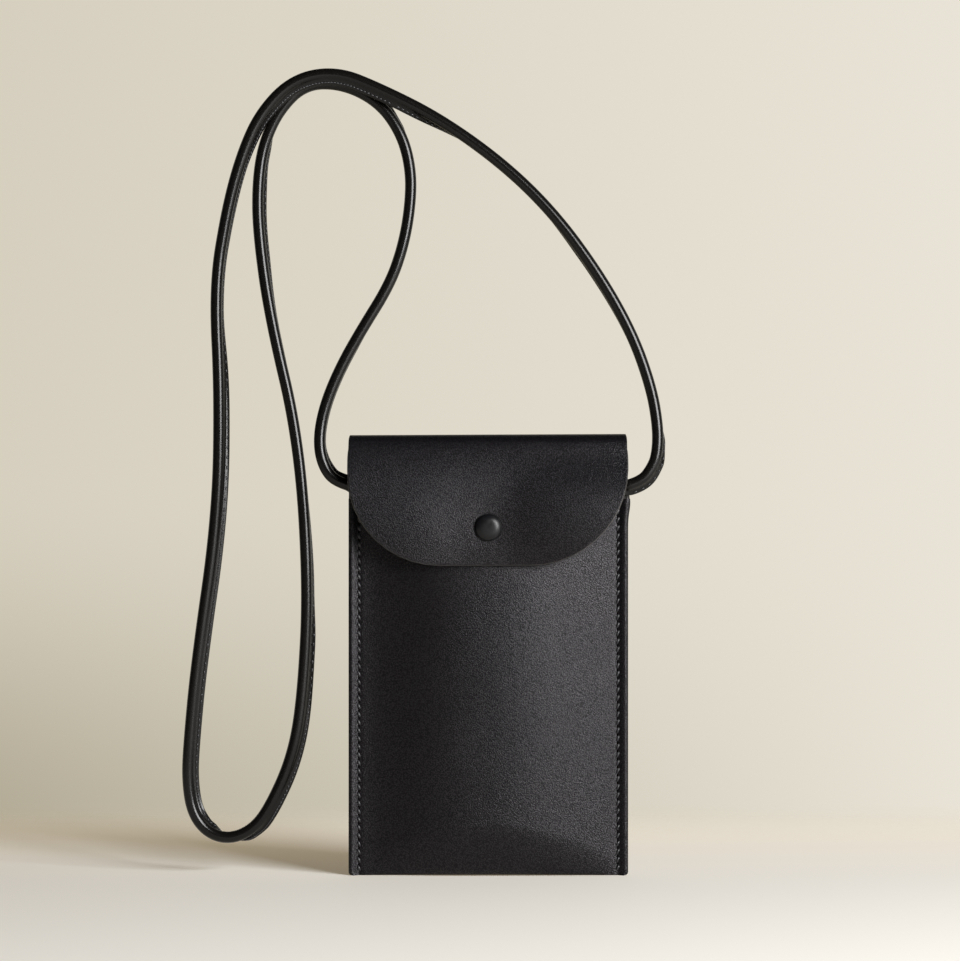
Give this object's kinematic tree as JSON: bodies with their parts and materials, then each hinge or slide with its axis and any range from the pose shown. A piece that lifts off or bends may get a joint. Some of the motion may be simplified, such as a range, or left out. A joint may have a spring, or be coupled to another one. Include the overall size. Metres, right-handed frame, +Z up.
{
  "type": "phone pouch",
  "caption": "Slim leather pouch that holds a phone upright, with a fold-over flap closed by a press stud and a long rolled leather strap for carrying.",
  "frame": {"origin": "on the flat of the base, in the plane of the side seams and midway between them", "axes": "+X to the wearer's right as the flap is looked at, -Y out of the front, +Z up from the base to the fold"},
  "size_m": [0.1971, 0.0249, 0.3297],
  "materials": {
    "black_leather": "fine grained black full-grain leather with a soft sheen",
    "strap_leather": "smooth black leather rolled round a cord and sewn along one edge",
    "lining_suede": "thin black suede lining",
    "waxed_thread": "black waxed sewing thread",
    "core_cotton": "twisted cotton filler cord",
    "black_lacquer": "smooth black lacquer on a stamped cap",
    "snap_brass": "darkened brass",
    "spring_steel": "bright spring wire"
  },
  "bodies": {
    "pouch": {"front_panel": "black_leather", "base_fold": "black_leather", "back_panel": "black_leather", "top_fold": "black_leather", "front_lining": "lining_suede", "back_lining": "lining_suede", "base_lining": "lining_suede", "left_seam_stitches": "waxed_thread", "right_seam_stitches": "waxed_thread", "left_strap_tab": "strap_leather", "right_strap_tab": "strap_leather", "left_tab_stitches": "waxed_thread", "right_tab_stitches": "waxed_thread", "strap_cover": "strap_leather", "strap_core": "core_cotton", "snap_stud": "snap_brass", "snap_post": "snap_brass"},
    "flap": {"flap": "black_leather", "snap_cap": "black_lacquer", "snap_socket": "snap_brass", "snap_spring_ring": "spring_steel"}
  },
  "joints": [
    {"name": "flap_fold", "type": "hinge", "parent": "pouch", "child": "flap", "pos_m": [0, -0.001, 0.173], "axis": [-1, 0, 0], "range_deg": [0, 180], "deforming": ["top_fold"]}
  ]
}
